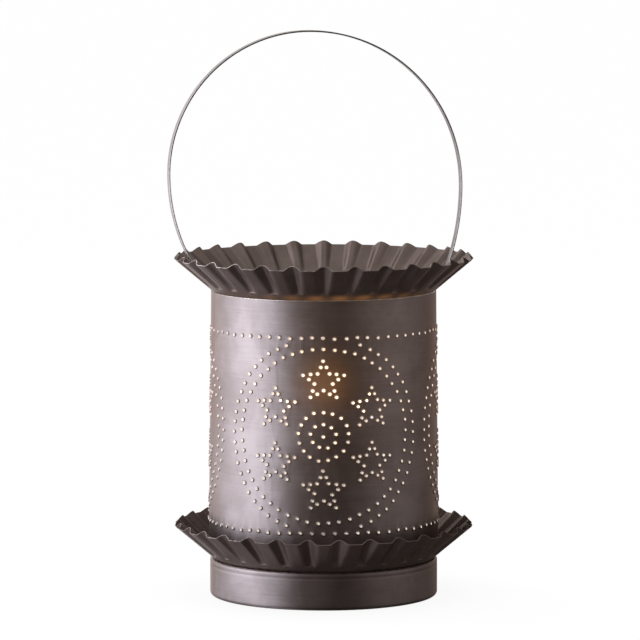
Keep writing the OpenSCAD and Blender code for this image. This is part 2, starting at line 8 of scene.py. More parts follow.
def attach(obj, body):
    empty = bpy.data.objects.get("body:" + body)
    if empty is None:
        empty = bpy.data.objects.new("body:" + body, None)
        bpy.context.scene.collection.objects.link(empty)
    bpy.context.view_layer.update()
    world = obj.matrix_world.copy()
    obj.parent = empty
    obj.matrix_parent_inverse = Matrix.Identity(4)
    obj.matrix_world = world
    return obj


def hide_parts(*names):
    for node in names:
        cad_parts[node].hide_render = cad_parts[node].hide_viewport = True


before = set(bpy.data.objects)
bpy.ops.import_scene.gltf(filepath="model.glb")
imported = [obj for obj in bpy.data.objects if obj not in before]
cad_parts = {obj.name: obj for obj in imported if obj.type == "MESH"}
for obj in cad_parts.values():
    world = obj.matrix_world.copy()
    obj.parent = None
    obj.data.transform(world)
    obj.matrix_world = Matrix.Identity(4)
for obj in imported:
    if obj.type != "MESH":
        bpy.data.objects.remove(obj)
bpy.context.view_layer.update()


# Base cup: the foot that the lantern stands on, drawn from tin plate like a shallow dish.
# Its upper edge is rolled inward, and the sheet is brushed round and round and then darkened.
MM = 0.001
SHEET = 0.5 * MM
CUP_R = 72.6 * MM
CUP_CORNER = 2.25 * MM
CUP_FLOOR_RINGS = (0, 30 * MM, 60 * MM)
CUP_ROWS = [(4 + 1.2 * i) * MM for i in range(14)]
CUP_STEPS = 256
GROOVE_Z = 20.2 * MM
GROOVE_DEEP = 0.14 * MM
GROOVE_HALF = 0.5 * MM
ROLL_R = 1.5 * MM
ROLL_Z = 22.4 * MM
ROLL_TURN = 260
INLET_Z = 11 * MM
INLET_CUT_R = 4.9 * MM
CUP_WALL_FROM_R = 66 * MM
WORN_BAND = 0.9 * MM
FOOT_WORN_Z = 0.8 * MM
FOOT_WEAR = 0.35
SKIN_DEEP = 0.05 * MM
BRUSH_LINES = (18, 900, 1)
FINE_BRUSH_LINES = (45, 3600, 1)
LINE_SHARE = 0.3
BARE_TIN = (0.60, 0.56, 0.53)
TIN_MIRROR = (1.0, 0.90, 0.84, 1)
FAINT_LIGHT = (1.0, 0.42, 0.12)
STRONG_LIGHT = (1.0, 0.84, 0.62)
FAR_LIP_LIGHT = (1.0, 0.92, 0.82)


def arc(middle_r, middle_z, r, start, end, steps):
    """Points of an arc in an outline of (radius, height), angles in degrees."""
    turns = [math.radians(start + (end - start) * i / steps) for i in range(steps + 1)]
    return [(middle_r + r * math.cos(a), middle_z + r * math.sin(a)) for a in turns]


def spun(outline, steps):
    """Spins an outline of (radius, height) points once round the upright axis."""
    bm = bmesh.new()
    line = [bm.verts.new((r, 0, z)) for r, z in outline]
    edges = [bm.edges.new(pair) for pair in zip(line, line[1:])]
    bmesh.ops.spin(bm, geom=line + edges, axis=(0, 0, 1), angle=math.tau, steps=steps,
                   use_merge=True)
    bmesh.ops.remove_doubles(bm, verts=bm.verts, dist=1e-7)
    bmesh.ops.recalc_face_normals(bm, faces=bm.faces)
    return bm


def finished(bm, name, materials, body, *nodes, slot="tin", sharp=40):
    """Makes the piece's object, with smooth faces and sharp creases, and hangs it on its body."""
    for face in bm.faces:
        face.smooth = True
    for edge in bm.edges:
        edge.smooth = edge.calc_face_angle(0) < math.radians(sharp)
    mesh = bpy.data.meshes.new(name)
    bm.to_mesh(mesh)
    bm.free()
    for material in materials:
        mesh.materials.append(material)
    piece = bpy.data.objects.new(name, mesh)
    bpy.context.scene.collection.objects.link(piece)
    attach(piece, body)
    if nodes:
        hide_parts(*nodes)
    return piece


def worn(bm, amount):
    """Writes how worn each point is, from 0 up, for the material to read."""
    layer = bm.verts.layers.float.new("wear")
    for vert in bm.verts:
        vert[layer] = amount(vert.co)


def put(tree, node, inputs):
    """Sets or links a shader node's inputs."""
    for key, value in inputs.items():
        if isinstance(value, bpy.types.NodeSocket):
            tree.links.new(value, node.inputs[key])
        else:
            node.inputs[key].default_value = value


def add(tree, kind, inputs=None, **settings):
    """Adds a shader node with its settings and inputs."""
    made = tree.nodes.new(kind)
    for key, value in settings.items():
        setattr(made, key, value)
    put(tree, made, inputs or {})
    return made


def maths(tree, operation, *values):
    """One step of arithmetic on numbers or sockets."""
    return add(tree, "ShaderNodeMath", dict(enumerate(values)), operation=operation).outputs[0]


def span(tree, value, low, high, to_low=0.0, to_high=1.0):
    """Carries the values from low to high over to another span."""
    return add(tree, "ShaderNodeMapRange", {"Value": value, "From Min": low, "From Max": high,
                                            "To Min": to_low, "To Max": to_high}).outputs[0]


def noise(tree, vector, scale, detail, **more):
    """Cloudy values from 0 to 1."""
    return add(tree, "ShaderNodeTexNoise", {"Vector": vector, "Scale": scale, "Detail": detail,
                                            **more}).outputs["Fac"]


def stepped(tree, value, stops):
    """Colours at given values, as (value, colour) pairs in rising order."""
    made = add(tree, "ShaderNodeValToRGB", {"Fac": value})
    places = made.color_ramp.elements
    while len(places) < len(stops):
        places.new(0.5)
    for place, (at, colour) in zip(places, stops):
        place.position = at
        place.color = (*colour, 1)
    return made.outputs["Color"]


def ramp(tree, value, low, high, *colours):
    """Colours spread evenly over the values from low to high."""
    gaps = len(colours) - 1
    return stepped(tree, value, [(low + (high - low) * i / gaps, colour)
                                 for i, colour in enumerate(colours)])


def blended(tree, share, first, second):
    """A colour socket that turns into a second colour as the share goes from 0 to 1."""
    return add(tree, "ShaderNodeMix", {"Factor": share, "A": first, "B": (*second, 1)},
               data_type="RGBA").outputs["Result"]


def written(tree, name):
    """What the mesh has written on its points under a name."""
    return add(tree, "ShaderNodeAttribute", attribute_name=name).outputs["Fac"]


def object_place(tree):
    """Where a point is, in the object's own metres."""
    return add(tree, "ShaderNodeTexCoord").outputs["Object"]


def coordinates(tree, place):
    """The X, Y and Z of a place."""
    return add(tree, "ShaderNodeSeparateXYZ", {"Vector": place}).outputs


def bumped(tree, shader, height, strength):
    """Gives the skin a fine relief."""
    bump = add(tree, "ShaderNodeBump", {"Height": height, "Strength": strength,
                                        "Distance": SKIN_DEEP})
    put(tree, shader, {"Normal": bump.outputs["Normal"]})


def new_material(name):
    """An empty material with its shader, as (material, tree, shader)."""
    material = bpy.data.materials.new(name)
    material.use_nodes = True
    return material, material.node_tree, material.node_tree.nodes["Principled BSDF"]


def round_the_axis(tree, place):
    """A place on the wall as (length round it, height)."""
    part = coordinates(tree, place)
    turn = maths(tree, "ARCTAN2", part["X"], maths(tree, "MULTIPLY", part["Y"], -1.0))
    run = maths(tree, "MULTIPLY", turn, CUP_R)
    return add(tree, "ShaderNodeCombineXYZ", {"X": run, "Y": part["Z"]}).outputs["Vector"]


def dark_tin(name, dark, mid, pale, rough, brushed, metal=1.0, scuffed=1.0):
    """Darkened tin: brush lines that run round it, cloudy patina, and bright metal where the mesh
    marks wear, which on the pan rims also holds a painted highlight.

    Where the mesh says so, lamplight shows on it: orange where faint and cream where strong,
    and paler on worn lips that it only just reaches.
    """
    material, tree, shader = new_material(name)
    place = object_place(tree)
    along = round_the_axis(tree, place)
    broad = add(tree, "ShaderNodeMapping", {"Vector": along, "Scale": BRUSH_LINES})
    fine = add(tree, "ShaderNodeMapping", {"Vector": along, "Scale": FINE_BRUSH_LINES})
    lines = maths(
        tree, "ADD", noise(tree, broad.outputs[0], scale=1.0, detail=3.0, Roughness=0.6),
        noise(tree, fine.outputs[0], scale=1.0, detail=2.0, Roughness=0.55))
    cloud = noise(tree, place, scale=34.0, detail=5.0, Roughness=0.6, Distortion=0.4)
    shift = LINE_SHARE * brushed
    mixed = maths(tree, "MULTIPLY_ADD", lines, shift, cloud)
    patina = ramp(tree, mixed, 0.36 + shift, 0.64 + shift, dark, mid, pale)
    gloss = span(tree, mixed, 0.3 + shift, 0.7 + shift, rough - 0.03, rough + 0.05)
    wear = written(tree, "wear")
    scuff = noise(tree, place, scale=420.0, detail=3.0)
    uneven = span(tree, scuff, 0, 1, to_low=0.5 - 0.5 * scuffed, to_high=0.5 + 0.5 * scuffed)
    bare = span(tree, maths(tree, "MULTIPLY", wear, uneven), low=0.18, high=0.62)
    lamplight = written(tree, "lamplight")
    glow = ramp(tree, lamplight, 0.22, 1.2, FAINT_LIGHT, STRONG_LIGHT)
    far_lip = maths(tree, "MULTIPLY", wear, span(tree, lamplight, 0.3, 1.0, 1.0, 0.0))
    relief = add(tree, "ShaderNodeMix", {"Factor": 1 - brushed, "A": lines, "B": cloud},
                 data_type="FLOAT")
    bumped(tree, shader, relief.outputs["Result"], strength=0.12)
    put(tree, shader, {"Base Color": blended(tree, bare, patina, BARE_TIN),
                       "Metallic": metal,
                       "Roughness": gloss,
                       "Specular Tint": TIN_MIRROR,
                       "Anisotropic": 0.5 * brushed,
                       "Anisotropic Rotation": 0.25,
                       "Emission Color": blended(tree, far_lip, glow, FAR_LIP_LIGHT),
                       "Emission Strength": lamplight})
    return material


def cup_wear(place):
    """Worn along the top of the rolled edge, and less round the foot."""
    if place.xy.length <= CUP_WALL_FROM_R:
        return 0
    edge = 1 - abs(place.z - ROLL_Z - ROLL_R) / WORN_BAND
    foot = FOOT_WEAR * (1 - abs(place.z - FOOT_WORN_Z) / WORN_BAND)
    return max(edge, foot, 0)


brushed_tin = dark_tin("brushed_tin", (0.108, 0.094, 0.088), (0.130, 0.113, 0.107),
                       (0.154, 0.135, 0.129), rough=0.34, brushed=1.0)

cup_outline = (
    [(r, 0) for r in CUP_FLOOR_RINGS]
    + arc(CUP_R - CUP_CORNER, CUP_CORNER, CUP_CORNER, -90, 0, 8)
    + [(CUP_R, z) for z in CUP_ROWS]
    + [(CUP_R - GROOVE_DEEP, GROOVE_Z), (CUP_R, GROOVE_Z + GROOVE_HALF)]
    + arc(CUP_R - ROLL_R, ROLL_Z, ROLL_R, 0, ROLL_TURN, 20)
    + [(CUP_R - SHEET, z) for z in reversed(CUP_ROWS)]
    + arc(CUP_R - CUP_CORNER, CUP_CORNER, CUP_CORNER - SHEET, 0, -90, 6)
    + [(r, SHEET) for r in reversed(CUP_FLOOR_RINGS)])
cup = spun(cup_outline, CUP_STEPS)
inlet = Vector((0, CUP_R, INLET_Z))
bmesh.ops.delete(cup, context="FACES", geom=[
    f for f in cup.faces if (f.calc_center_median() - inlet).length < INLET_CUT_R])
bmesh.ops.bridge_loops(cup, edges=[e for e in cup.edges if e.is_boundary])
worn(cup, cup_wear)
finished(cup, "base_cup_tin", [brushed_tin], "lantern", "base_cup")


# Cord grommet: a black rubber bush snapped into the back of the cup, where the lead goes in.
# It is moulded, so its skin is dull and faintly pitted.
def moulded(name, colour, rough, grain):
    """A moulded skin with faint pits and paler patches."""
    material, tree, shader = new_material(name)
    pits = noise(tree, object_place(tree), scale=grain, detail=4.0)
    paler = tuple(c * 1.7 + 0.01 for c in colour)
    bumped(tree, shader, pits, strength=0.25)
    put(tree, shader, {"Base Color": ramp(tree, pits, 0.35, 0.7, colour, paler),
                       "Roughness": span(tree, pits, 0, 1, rough - 0.1, rough + 0.1)})
    return material


def dress(material, *names):
    """Gives CAD nodes their finish."""
    for name in names:
        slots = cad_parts[name].data.materials
        slots.clear()
        slots.append(material)


black_rubber = moulded("black_rubber", (0.018, 0.018, 0.019), rough=0.6, grain=900.0)
dress(black_rubber, "cord_grommet")


# Lower pan: a pie pan of thin darkened tin that carries the body and catches drips.
# Its sloping wall is pressed into crimps by ribbed rollers; the edge is left as it was cut.
PAN_FLOOR_R = 69 * MM
PAN_RIM_R = 95.19 * MM
PAN_H = 22 * MM
PAN_CORNER = 3 * MM
PAN_FLOOR_RINGS = (25 * MM, 48 * MM)
PAN_WALL_FROM_R = 73 * MM
PAN_WALL_STEPS = (0, 0.004, 0.012, 0.025, 0.045, 0.08, 0.13, 0.2, 0.3, 0.42, 0.56, 0.7, 0.85,
                  0.975, 1)
WALL = math.atan2(PAN_H, PAN_RIM_R - PAN_FLOOR_R)
CRIMPS = 30
CRIMP_H = 3.7 * MM
CRIMP_FOOT_R = 75.5 * MM
CRIMP_RIM_SHARE = 0.56
CRIMP_FOOT_SHARE = 0.42
CRIMP_STEPS = 16
CRIMP_COLUMNS = 6 / CRIMP_STEPS
CRIMP_GROWTH = 0.45
CRIMP_ROUND = 0.6
CRIMP_UNEVEN = 0.04
CRIMP_UNEVEN_STEP = 5.1
# The next turn sets where a painted highlight on the pan rims peaks, towards the lit left front;
# the share after it is rim wear that is even all round.
RIM_HIGHLIGHT_TURN = math.radians(70)
RIM_WORN_LEAST = 0.3
LOWER_PAN_Z = 22.86 * MM
PIPE_HOLE_R = 5 * MM
LAMP_SHADE_R = 25 * MM
FLOOR_LIT_TO_R = PAN_FLOOR_R + 2 * MM

satin_tin = dark_tin("satin_tin", (0.068, 0.049, 0.042), (0.080, 0.059, 0.051),
                     (0.094, 0.071, 0.063), rough=0.40, brushed=0.35, metal=0.75)


def turn_of(place):
    """Angle of a place round the axis, from the front."""
    return math.atan2(place.x, -place.y)


def crimped_pan(z, phase, hole_r, rim_wear_and_highlight):
    """A pan as one sheet: the spun outline, its wall raised into crimps, then its thickness."""
    flat = PAN_CORNER * math.tan(WALL / 2)
    rise = PAN_H / (PAN_RIM_R - PAN_FLOOR_R)
    corner = arc(PAN_FLOOR_R - flat, PAN_CORNER, PAN_CORNER, -90, math.degrees(WALL) - 90, 5)
    walls = [CRIMP_FOOT_R + (PAN_RIM_R - CRIMP_FOOT_R) * s for s in PAN_WALL_STEPS]
    outline = ([(r, 0) for r in (hole_r, *PAN_FLOOR_RINGS)] + corner
               + [(r, (r - PAN_FLOOR_R) * rise) for r in (PAN_WALL_FROM_R, *walls)])
    pan = spun(outline, CRIMPS * CRIMP_STEPS)
    pitch = math.tau / CRIMPS
    for vert in pan.verts:
        r = vert.co.xy.length
        out = max((r - CRIMP_FOOT_R) / (PAN_RIM_R - CRIMP_FOOT_R), 0)
        half = (CRIMP_FOOT_SHARE + (CRIMP_RIM_SHARE - CRIMP_FOOT_SHARE) * out) / 2
        turn = (turn_of(vert.co) - phase) / pitch
        crimp = round(turn)
        across = (turn - crimp) / CRIMP_COLUMNS
        if abs(across) <= 1:
            place = half * across
            bulge = max((1 + math.cos(math.pi * across)) / 2, 0)
            lift = CRIMP_H * out ** CRIMP_GROWTH * bulge ** CRIMP_ROUND
        else:
            share = (abs(turn - crimp) - CRIMP_COLUMNS) / (0.5 - CRIMP_COLUMNS)
            place = math.copysign(half + (0.5 - half) * share, across)
            lift = 0
        lift *= 1 - CRIMP_UNEVEN * (1 - math.sin(CRIMP_UNEVEN_STEP * crimp))
        angle = phase + (crimp + place) * pitch
        r -= lift * math.sin(WALL)
        vert.co = (r * math.sin(angle), -r * math.cos(angle), vert.co.z + lift * math.cos(WALL))
    bmesh.ops.recalc_face_normals(pan, faces=pan.faces)
    if sum(f.normal.z for f in pan.faces) > 0:
        bmesh.ops.reverse_faces(pan, faces=pan.faces)
    # Rim mark: even wear all round, raised towards the lit left front by a painted highlight.
    wear = pan.verts.layers.float.new("wear")
    for vert in pan.verts:
        if vert.is_boundary and vert.co.xy.length > PAN_FLOOR_R:
            toward_light = math.sqrt(max(math.cos(turn_of(vert.co) + RIM_HIGHLIGHT_TURN), 0))
            vert[wear] = rim_wear_and_highlight * (RIM_WORN_LEAST + (1 - RIM_WORN_LEAST) * toward_light)
    bmesh.ops.solidify(pan, geom=pan.faces[:], thickness=SHEET)
    bmesh.ops.translate(pan, verts=pan.verts, vec=(0, 0, z))
    pan.normal_update()
    return pan


lower_pan = crimped_pan(LOWER_PAN_Z, phase=math.pi / CRIMPS, hole_r=PIPE_HOLE_R, rim_wear_and_highlight=0.4)
lit = lower_pan.verts.layers.float.new("lamplight")
for vert in lower_pan.verts:
    r = vert.co.xy.length
    if vert.normal.z > 0 and r < FLOOR_LIT_TO_R:
        vert[lit] = min(max((r - LAMP_SHADE_R) / LAMP_SHADE_R, 0), 1)
finished(lower_pan, "lower_pan_tin", [satin_tin], "lantern", "lower_pan")


# Pan solder: short runs of soft solder that hold the lower pan to the cup's rolled edge.
# It has set dull and grey, with a slightly lumpy skin.
def bare_metal(name, colour, rough, grain, stretch, metal=1.0, dulled=0.45):
    """Bare or plated metal with fine drawn lines and a little tarnish."""
    material, tree, shader = new_material(name)
    place = object_place(tree)
    drawn = add(tree, "ShaderNodeMapping", {"Vector": place, "Scale": stretch})
    lines = noise(tree, drawn.outputs[0], scale=grain, detail=4.0)
    tarnish = noise(tree, place, scale=160.0, detail=4.0)
    both = maths(tree, "MULTIPLY_ADD", lines, 0.4, tarnish)
    dull = tuple(c * (1 - dulled) for c in colour)
    bumped(tree, shader, lines, strength=0.15)
    put(tree, shader, {"Base Color": ramp(tree, both, 0.5, 0.85, dull, colour),
                       "Metallic": metal,
                       "Roughness": span(tree, both, 0.5, 0.9, rough + 0.12, rough - 0.05)})
    return material


soft_solder = bare_metal("soft_solder", (0.50, 0.50, 0.52), rough=0.42, grain=500.0,
                         stretch=(1, 1, 1))
dress(soft_solder, "pan_solder")


# Lamp pipe: a threaded steel pipe through the pan's floor, held by a nut and washer on each side.
# All of it is zinc-plated.
zinc = bare_metal("zinc_plate", (0.56, 0.56, 0.55), rough=0.34, grain=260.0, stretch=(1, 1, 12))
dress(zinc, "pipe_nipple", "pipe_washers", "pipe_nuts")


# Lamp holder: spun brass cap and shell on the pipe, with a moulded block, two screws and contacts.
# A fibre tube keeps the threaded shell apart from the brass outside.
HOLDER_LIGHT = (0.94, 0.97, 1.0)
HOLDER_LIT = 0.2


def bathed(material, colour, strength):
    """Gives a finish the lamplight that comes back to it from all round."""
    tree = material.node_tree
    put(tree, tree.nodes["Principled BSDF"], {"Emission Color": (*colour, 1),
                                              "Emission Strength": strength})


brass = bare_metal("spun_brass", (0.88, 0.81, 0.66), rough=0.34, grain=300.0, stretch=(1, 1, 14),
                   metal=0.6)
bathed(brass, HOLDER_LIGHT, HOLDER_LIT)
black_block = moulded("black_block", (0.014, 0.012, 0.011), rough=0.5, grain=700.0)
fibre = moulded("brown_fibre", (0.20, 0.13, 0.07), rough=0.8, grain=500.0)
dress(brass, "holder_cap", "holder_shell", "terminal_screws", "centre_contact", "screw_shell")
dress(black_block, "holder_block")
dress(fibre, "insulating_sleeve")


# Lamp: a frosted household lamp, lit, that screws into the holder.
# Its base is rolled metal over black glass, and its tip a bead of solder.
NECK_Z = 82 * MM
CROWN_Z = 166 * MM
LAMP_SHARES = (0.25, 0.6, 1.0, 0.9, 0.2)
LAMP_GLOW = 2.8
LAMP_FAINT = (1.0, 0.76, 0.50)
LAMP_STRONG = (1.0, 0.70, 0.40)
FROST_LEAST = 0.92
FROST_MOST = 1.08
WIRE_LEAST = 0.3
WIRE_MOST = 1.0

black_glass = moulded("black_glass", (0.010, 0.010, 0.012), rough=0.18, grain=300.0)
dress(soft_solder, "lamp_tip")
dress(black_glass, "lamp_insulator")
dress(zinc, "lamp_base", "lamp_leads")

frosted, tree, shader = new_material("lit_frosted_glass")
place = object_place(tree)
up_lamp = span(tree, coordinates(tree, place)["Z"], NECK_Z, CROWN_Z)
glow = ramp(tree, up_lamp, 0, 1, *[(share,) * 3 for share in LAMP_SHARES])
frost = noise(tree, place, scale=300.0, detail=3.0)
frost = span(tree, frost, 0, 1, FROST_LEAST, FROST_MOST)
power = maths(tree, "MULTIPLY", maths(tree, "MULTIPLY", glow, frost), LAMP_GLOW)
put(tree, shader, {"Base Color": (0.42, 0.40, 0.36, 1),
                   "Roughness": 0.35,
                   "Emission Color": ramp(tree, glow, 0.1, 1.0, LAMP_FAINT, LAMP_STRONG),
                   "Emission Strength": power})
dress(frosted, "lamp_glass")

clear_stem = moulded("stem_glass", (0.55, 0.58, 0.56), rough=0.12, grain=200.0)
dress(clear_stem, "lamp_stem")

hot_wire, tree, shader = new_material("hot_wire")
coil = add(tree, "ShaderNodeTexWave", {"Vector": object_place(tree), "Scale": 900.0})
glow = ramp(tree, coil.outputs["Fac"], 0, 1, (WIRE_LEAST,) * 3, (WIRE_MOST,) * 3)
put(tree, shader, {"Base Color": (0.3, 0.26, 0.22, 1),
                   "Emission Color": (1.0, 0.62, 0.25, 1),
                   "Emission Strength": glow})
dress(hot_wire, "lamp_filament")


# Body: one sheet of tin, punched flat from behind with rings and stars, then rolled round.
# Each punch leaves a small raised crater with a torn hole; the ends are locked in a seam behind.
BODY_Z = 27.537 * MM
BODY_H = 167.4 * MM
BODY_BOTTOM_R = 73.5 * MM
BODY_TOP_R = 71.65 * MM
BODY_MID_R = (BODY_BOTTOM_R + BODY_TOP_R) / 2
BODY_STRIPS = 160
TOP_EDGE = 0.35 * MM
TOP_WEAR = 0.9
MOTIF_Z = 82.7 * MM
MOTIF_TURN = math.radians(110)
MOTIF_STRETCH = 1.035
MOTIF_SIDES = (-1, 0, 1)
ROW_AWAY = 61.3 * MM
ROW_HOLES = 64
OUTER_HOLES = 58
OUTER_CUT = 0.95
RINGS = ((54.6 * MM, 53), (15.3 * MM, 17), (7.6 * MM, 9))
STARS = 6
STARS_AWAY = 34.6 * MM
STAR_POINTS = 5
STAR_TIP_R = 12.8 * MM
STAR_DIP_R = 5.8 * MM
HAND_SLIP = 0.45 * MM
SLIP_STEP = 1.7
SLIP_TURN = 2.4
CRATER_SIDES = 10
CRATER_GAP = 0.1 * MM
CRATER_SLACK = 0.01 * MM
CRATER_EDGE_R = 1.66 * MM
CRATER_RINGS = (  # radius, height, wear, lamplight caught
    (1.45 * MM, 0.03 * MM, 0.0, 0.22),
    (1.22 * MM, 0.38 * MM, 0.15, 0.5),
    (0.96 * MM, 0.66 * MM, 0.6, 1.3),
    (0.75 * MM, 0.64 * MM, 0.8, 2.2),
    (CRATER_EDGE_R, -SHEET, 0.0, 0.0))
LAMP_SPOT_V = 33 * MM
NEAR_LIGHT_R = 15 * MM
NEAR_LIGHT = 0.11
NEAR_CAUGHT = 0.5
NEAR_FULL = 0.35
WIDE_LIGHT_R = 60 * MM
WIDE_LIGHT = 0.015
WIDE_CAUGHT = 0.28
INSIDE_LIGHT = (0.90, 0.96, 1.0)
INSIDE_LIT_BELOW = 0.22
INSIDE_LIT_ABOVE = 0.31
INWARD = -0.15
SEAM_HALF = 3.5 * MM
SEAM_CLEAR = math.radians(2)
SEAM_GAP = 0.05 * MM
SEAM_FOOT = 1.75 * MM
SEAM_STEPS = 8
SEAM_WEAR = 0.3
SEAM_LINE = ((-3.5, 0.1), (-3.4, 0.55), (-3.1, 0.85), (1.6, 0.85), (1.9, 0.6), (2.1, 0.45),
             (3.2, 0.45), (3.5, 0.1))

bright_tin = bare_metal("bright_tin", (0.78, 0.75, 0.71), rough=0.55, grain=60.0,
                        stretch=(1, 1, 8), metal=0.3, dulled=0.2)
tree = bright_tin.node_tree
bathed(bright_tin, INSIDE_LIGHT, span(tree, coordinates(tree, object_place(tree))["Z"], BODY_Z,
                                      BODY_Z + BODY_H, INSIDE_LIT_BELOW, INSIDE_LIT_ABOVE))


def ring_of(h, v, r, count, start=0.0):
    """Punch places on a ring: (round the sheet, up)."""
    turns = [math.tau * (i + start) / count for i in range(count)]
    return [(h + r * math.sin(a), v + r * math.cos(a)) for a in turns]


def star_of(h, v):
    """Punch places along the sides of a star."""
    tips = ring_of(h, v, STAR_TIP_R, STAR_POINTS)
    dips = ring_of(h, v, STAR_DIP_R, STAR_POINTS, 0.5)
    corners = [p for pair in zip(tips, dips) for p in pair]
    ends = corners[1:] + corners[:1]
    return corners + [((a[0] + b[0]) / 2, (a[1] + b[1]) / 2) for a, b in zip(corners, ends)]


punches = []
for side in MOTIF_SIDES:
    h = side * MOTIF_TURN * BODY_MID_R / MOTIF_STRETCH
    punches += [p for p in ring_of(h, 0, ROW_AWAY, OUTER_HOLES, 0.5)
                if abs(p[1]) < OUTER_CUT * ROW_AWAY]
    for r, holes in RINGS:
        punches += ring_of(h, 0, r, holes)
    punches.append((h, 0))
    for star in ring_of(h, 0, STARS_AWAY, STARS):
        punches += star_of(*star)
lap = math.tau * BODY_MID_R / MOTIF_STRETCH
for i in range(ROW_HOLES):
    turn = i / ROW_HOLES if i < ROW_HOLES / 2 else i / ROW_HOLES - 1
    if math.pi - abs(turn * math.tau) > SEAM_HALF / BODY_MID_R + SEAM_CLEAR:
        punches += [(lap * turn, ROW_AWAY), (lap * turn, -ROW_AWAY)]

sheet = bmesh.new()
half_lap = math.pi * BODY_MID_R - SEAM_GAP
border = [sheet.verts.new((x, y, 0)) for x, y in (
    (-half_lap, 0), (half_lap, 0), (half_lap, BODY_H), (-half_lap, BODY_H))]
for pair in zip(border, border[1:] + border[:1]):
    sheet.edges.new(pair)
marks = [Vector((h * MOTIF_STRETCH, MOTIF_Z + v, 0)) for h, v in punches]
marked = kdtree.KDTree(len(marks))
for i, mark in enumerate(marks):
    marked.insert(mark, i)
marked.balance()
middles = kdtree.KDTree(len(marks))
for i, mark in enumerate(marks):
    room = marked.find_n(mark, 2)[1][2] - 2 * CRATER_EDGE_R - CRATER_GAP
    slip = max(min(HAND_SLIP, room / 2), 0) * math.sin(SLIP_STEP * i)
    middle = mark + Vector((math.cos(SLIP_TURN * i), math.sin(SLIP_TURN * i), 0)) * slip
    middles.insert(middle, i)
    bmesh.ops.create_circle(sheet, radius=CRATER_EDGE_R, segments=CRATER_SIDES,
                            matrix=Matrix.Translation(middle))
middles.balance()
bmesh.ops.triangle_fill(sheet, use_beauty=True, edges=sheet.edges[:])


def cut(place, normal):
    """Cuts the flat sheet's faces along a line, so that they can bend or change there."""
    bmesh.ops.bisect_plane(sheet, geom=sheet.verts[:] + sheet.edges[:] + sheet.faces[:],
                           plane_co=place, plane_no=normal)


for i in range(1, BODY_STRIPS):
    cut((half_lap * (2 * i / BODY_STRIPS - 1), 0, 0), (1, 0, 0))
cut((0, BODY_H - TOP_EDGE, 0), (0, 1, 0))
lamp_spots = [Vector((side * MOTIF_TURN * BODY_MID_R, MOTIF_Z + LAMP_SPOT_V, 0))
              for side in MOTIF_SIDES]


def glare(place, caught):
    """Lamplight on the sheet: strong on the lips near the lamp, faint and wide round them."""
    away = min((place - spot).length for spot in lamp_spots)
    near = NEAR_LIGHT + NEAR_CAUGHT * caught / (1 + NEAR_FULL * caught)
    wide = WIDE_LIGHT + WIDE_CAUGHT * caught
    return (near * math.exp(-(away / NEAR_LIGHT_R) ** 2)
            + wide * math.exp(-(away / WIDE_LIGHT_R) ** 2))


def extruded(bm, edges):
    """Draws edges out into a strip, as (its new points, its new edges)."""
    made = bmesh.ops.extrude_edge_only(bm, edges=edges)["geom"]
    points = [g for g in made if isinstance(g, bmesh.types.BMVert)]
    far = set(points)
    return points, [g for g in made if isinstance(g, bmesh.types.BMEdge) and set(g.verts) <= far]


def off_craters(edge):
    """True for an edge of the sheet itself, away from every crater."""
    return all(middles.find(v.co)[2] > CRATER_EDGE_R + CRATER_SLACK for v in edge.verts)


wear = sheet.verts.layers.float.new("wear")
lit = sheet.verts.layers.float.new("lamplight")
for vert in sheet.verts:
    vert[wear] = TOP_WEAR if vert.co.y > BODY_H - 1e-6 else 0
    vert[lit] = glare(vert.co, 0)
inner_side = bmesh.ops.duplicate(sheet, geom=sheet.verts[:] + sheet.edges[:] + sheet.faces[:])
bmesh.ops.translate(sheet, vec=(0, 0, -SHEET),
                    verts=[g for g in inner_side["geom"] if isinstance(g, bmesh.types.BMVert)])
open_edges = [e for e in sheet.edges if e.is_boundary and e.verts[0].co.z > -SHEET / 2]
edge_of_sheet = [e for e in open_edges if off_craters(e)]
crater = [e for e in open_edges if not off_craters(e)]
r = CRATER_EDGE_R
for to_r, lift, worn_here, caught in CRATER_RINGS:
    ring, crater = extruded(sheet, crater)
    for vert in ring:
        middle = middles.find((vert.co.x, vert.co.y, 0))[0]
        out = Vector((vert.co.x - middle.x, vert.co.y - middle.y, 0)) / r
        vert.co = middle + out * to_r + Vector((0, 0, lift))
        vert[wear] = worn_here
        vert[lit] = glare(middle, caught)
    r = to_r
bmesh.ops.translate(sheet, vec=(0, 0, -SHEET), verts=extruded(sheet, edge_of_sheet)[0])
bmesh.ops.remove_doubles(sheet, verts=sheet.verts, dist=0.5e-6)
bmesh.ops.recalc_face_normals(sheet, faces=sheet.faces)


def rolled(flat):
    """Where a point of the flat sheet (along, up, out) goes when the sheet is rolled."""
    r = BODY_BOTTOM_R + (BODY_TOP_R - BODY_BOTTOM_R) * flat.y / BODY_H + flat.z
    turn = flat.x / BODY_MID_R
    return Vector((r * math.sin(turn), -r * math.cos(turn), BODY_Z + flat.y))


for vert in sheet.verts:
    vert.co = rolled(vert.co)
sheet.normal_update()
for face in sheet.faces:
    middle = face.calc_center_median()
    face.material_index = int(face.normal.xy.dot(middle.xy.normalized()) < INWARD)
finished(sheet, "body_tin", [brushed_tin, bright_tin], "lantern", "body_shell", sharp=50)

